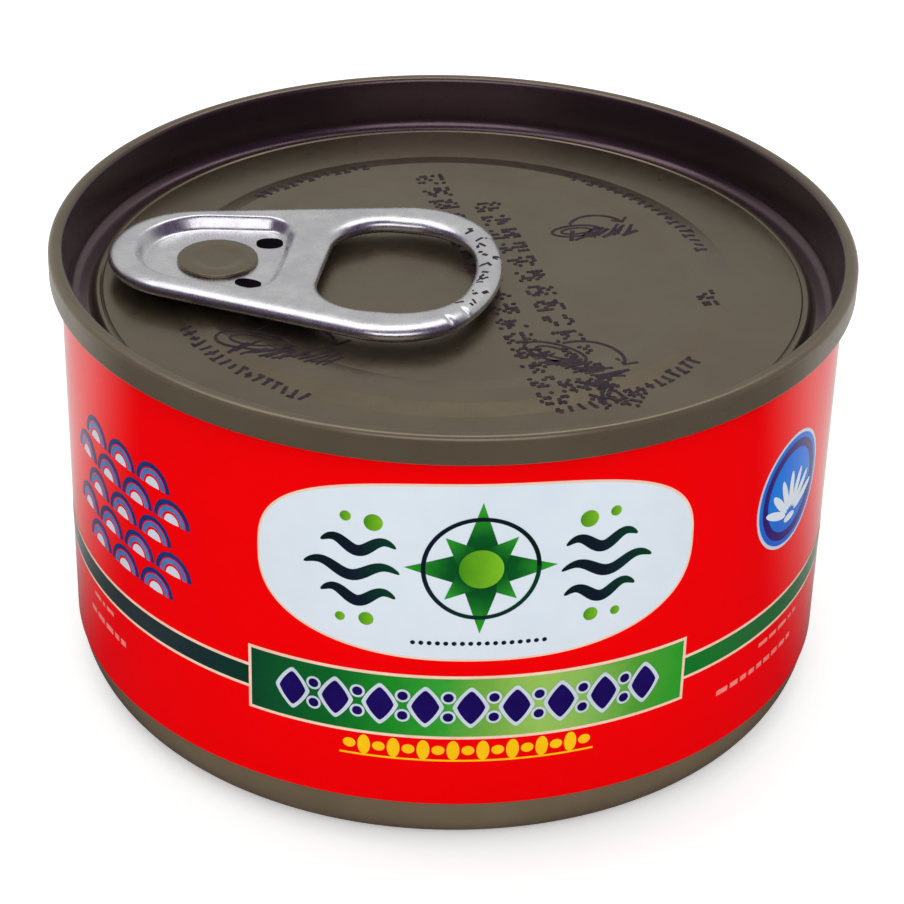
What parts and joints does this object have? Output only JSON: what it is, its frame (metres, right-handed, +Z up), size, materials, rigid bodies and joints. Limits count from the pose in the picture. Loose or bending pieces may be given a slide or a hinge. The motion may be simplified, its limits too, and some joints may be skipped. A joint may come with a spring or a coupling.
{
  "type": "tuna can",
  "caption": "Closed round food can with a printed wall label, a seamed easy-open end and a riveted ring-pull tab; stands on its base and holds preserved fish.",
  "frame": {"origin": "centre of the base, on the plane the can stands on", "axes": "+Z up along the can's axis; -Y towards the front of the label; the pull tab's rivet lies towards -X"},
  "size_m": [0.0684, 0.0684, 0.0397],
  "materials": {
    "lacquered_body": "khaki lacquer over steel, satin",
    "printed_label": "gloss print, red with a pale panel and a green band",
    "lacquered_end": "khaki lacquer over steel, semi-gloss",
    "tab_metal": "bright formed sheet, slightly scuffed"
  },
  "bodies": {
    "root": {"can_body": "lacquered_body", "label": "printed_label", "easy_open_end": "lacquered_end", "pull_tab": "tab_metal"}
  },
  "joints": []
}
